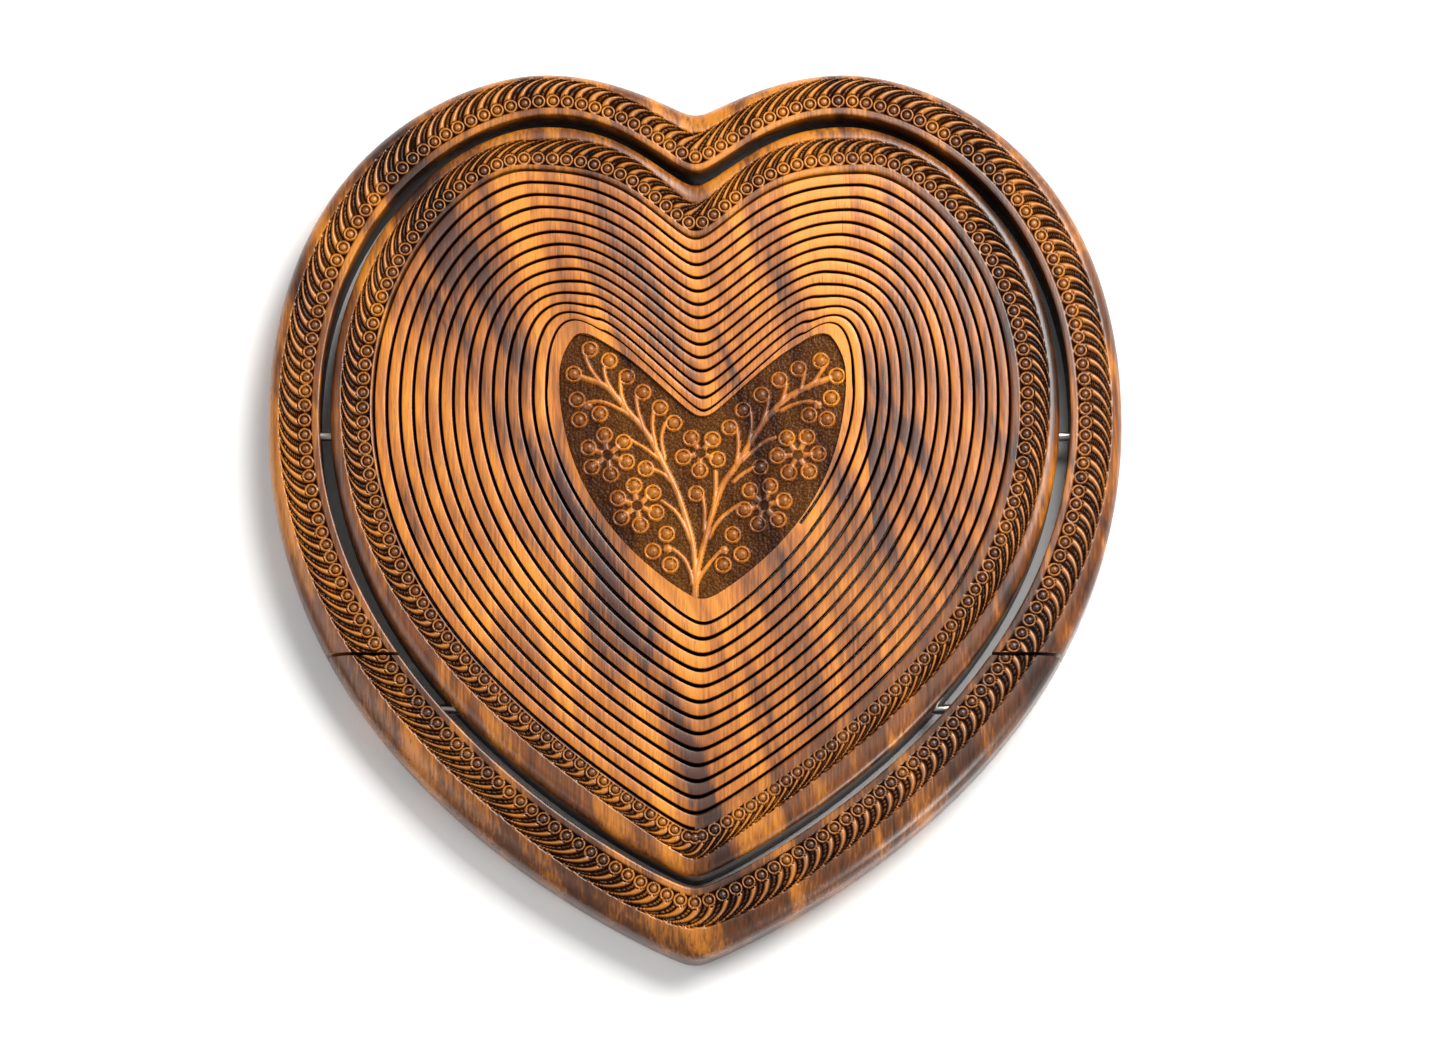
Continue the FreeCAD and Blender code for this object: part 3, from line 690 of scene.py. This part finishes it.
def panel_relief(x, y):
    """The highest of all the carved shapes over each point, and how dark each is stained, with painted shade for
    the holes at the flowers' centres.
    """
    height, stain_and_painted_light = np.zeros(x.shape), np.full(x.shape, 0.93)

    def add(shape, shade):
        stain_and_painted_light[shape > height] = (shade + 0 * shape)[shape > height]
        np.maximum(height, shape, out=height)

    for route in MAIN_STEMS:
        add(stem_relief(x, y, route, MAIN_STEM_HALF), 0.0)
    for route in SIDE_STEMS:
        add(stem_relief(x, y, route, SIDE_STEM_HALF), 0.0)
    centres = list(BERRIES)
    for (middle_x, middle_y), petals, turn in FLOWERS:
        spread = PETAL_SPREAD[petals]
        for angle in math.radians(turn) + 2 * math.pi * np.arange(petals) / petals:
            centres.append((middle_x + spread * math.cos(angle), middle_y + spread * math.sin(angle)))
            add(stem_relief(x, y, [(middle_x, middle_y), centres[-1]], 1.1) * 0.8, 0.1)
    for centre in centres:
        ball = np.hypot(x - centre[0], y - centre[1]) < BALL_RADIUS
        add(berry_relief(x, y, centre), np.where(ball, 0.42, 0.0))
    for (middle_x, middle_y), _, _ in FLOWERS:
        # Painted shade: each flower's centre is a flat disc near the ground painted nearly black, for a hole.
        painted_hole_shade = np.hypot(x - middle_x, y - middle_y) < HOLE_RADIUS
        height[painted_hole_shade], stain_and_painted_light[painted_hole_shade] = 0.3, 1.0
    for bud in BUDS:
        add(BUD_HEIGHT * ridge(np.hypot(x - bud[0], y - bud[1]), BUD_RADIUS), 0.15)
    return height, stain_and_painted_light


outline = ground_outline()
xs = np.arange(outline[:, 0].min(), outline[:, 0].max(), RELIEF_STEP)
ys = np.arange(outline[:, 1].min(), outline[:, 1].max(), RELIEF_STEP)
x, y = np.meshgrid(xs, ys)
relief, shade = panel_relief(x, y)
punched = np.random.default_rng(11).random(x.shape) * PUNCH_HEIGHT
z = PANEL_GROUND + np.where(relief > 0.12, relief, punched)
within = inside(outline, x, y)
number = np.arange(x.size).reshape(x.shape)
cells = within[:-1, :-1] & within[1:, :-1] & within[1:, 1:] & within[:-1, 1:]
quads = np.stack([number[:-1, :-1], number[:-1, 1:], number[1:, 1:], number[1:, :-1]], axis=-1)[cells]
used = np.unique(quads)
renumber = np.zeros(x.size, int)
renumber[used] = np.arange(len(used))
points = np.stack([x.ravel(), y.ravel(), z.ravel()], axis=-1)[used]
flowers = make_mesh("panel_flowers", points, renumber[quads].tolist(), 80)
shade = np.where(relief > 0.5, shade, 0.95 - 0.4 * punched)
add_stain_and_painted_light(flowers, shade.ravel()[used])
backing = flowers.modifiers.new("backing", "SOLIDIFY")
backing.thickness = 0.0012
backing.offset = -1
flower_wood = rosewood("flower_rosewood", pale=(0.66, 0.225, 0.014), middle=(0.40, 0.115, 0.008),
                       dark=(0.07, 0.018, 0.004), roughness=0.36)
place_piece(flowers, "panel", "carved_panel", flower_wood)

# ---------------------------------------------------------------- pivot screws
# Four turned steel screws with slotted heads, two for the handle and two for the foot.
steel = bpy.data.materials.new("turned_steel")
steel.use_nodes = True
steel_shader = steel.node_tree.nodes["Principled BSDF"]
steel_shader.inputs["Base Color"].default_value = (0.72, 0.70, 0.66, 1)
steel_shader.inputs["Metallic"].default_value = 1.0
steel_shader.inputs["Roughness"].default_value = 0.28
for owner in ("handle", "foot"):
    for side in ("left", "right"):
        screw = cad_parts[f"{owner}_screw_{side}"]
        screw.data.materials.clear()
        screw.data.materials.append(steel)

# ---------------------------------------------------------------- floor, light and camera
# A white sheet under the basket, a broad bright key from the upper right, a low light along
# the lower right edges and a soft fill from the left.
FLOOR_SPAN = 6.0
floor_mesh = bpy.data.meshes.new("floor")
floor_corners = [(-FLOOR_SPAN, -FLOOR_SPAN, 0), (FLOOR_SPAN, -FLOOR_SPAN, 0), (FLOOR_SPAN, FLOOR_SPAN, 0),
                 (-FLOOR_SPAN, FLOOR_SPAN, 0)]
floor_mesh.from_pydata(floor_corners, [], [(0, 1, 2, 3)])
floor = bpy.data.objects.new("floor", floor_mesh)
bpy.context.scene.collection.objects.link(floor)
paper = bpy.data.materials.new("white_paper")
paper.use_nodes = True
paper.node_tree.nodes["Principled BSDF"].inputs["Base Color"].default_value = (0.95, 0.95, 0.95, 1)
paper.node_tree.nodes["Principled BSDF"].inputs["Roughness"].default_value = 0.9
floor_mesh.materials.append(paper)

world = bpy.data.worlds.new("studio")
world.use_nodes = True
world.node_tree.nodes["Background"].inputs[0].default_value = (1.0, 1.0, 1.0, 1)
world.node_tree.nodes["Background"].inputs[1].default_value = 0.30
bpy.context.scene.world = world
bpy.context.scene.view_settings.view_transform = "Standard"


def softbox(name, place, span, power, colour):
    """A square area light aimed at the middle of the basket."""
    light = bpy.data.lights.new(name, "AREA")
    light.shape = "SQUARE"
    light.size = span
    light.energy = power
    light.color = colour
    lamp = bpy.data.objects.new(name, light)
    lamp.location = place
    lamp.rotation_euler = (-Vector(place)).to_track_quat("-Z", "Y").to_euler()
    bpy.context.scene.collection.objects.link(lamp)


softbox("key", (0.6, 0.65, 1.0), 0.9, 30.0, (1.0, 0.99, 0.96))
softbox("edge", (1.1, -0.9, 0.6), 0.35, 7.0, (1.0, 0.99, 0.96))
softbox("fill", (-1.2, -0.2, 1.2), 1.2, 8.0, (1.0, 1.0, 1.0))

ELEVATION = math.radians(76)
DISTANCE = 2.4
VIEW_WIDTH = 0.513
aim = Vector((0.0098, -0.0075, cad_high[2]))
camera_data = bpy.data.cameras.new("camera")
camera_data.sensor_width = 36
camera_data.lens = camera_data.sensor_width * DISTANCE / VIEW_WIDTH
camera = bpy.data.objects.new("camera", camera_data)
back = Vector((0, -math.cos(ELEVATION), math.sin(ELEVATION)))
camera.location = aim + back * DISTANCE
camera.rotation_mode = "QUATERNION"
camera.rotation_quaternion = (-back).to_track_quat("-Z", "Y")
bpy.context.scene.collection.objects.link(camera)
bpy.context.scene.camera = camera
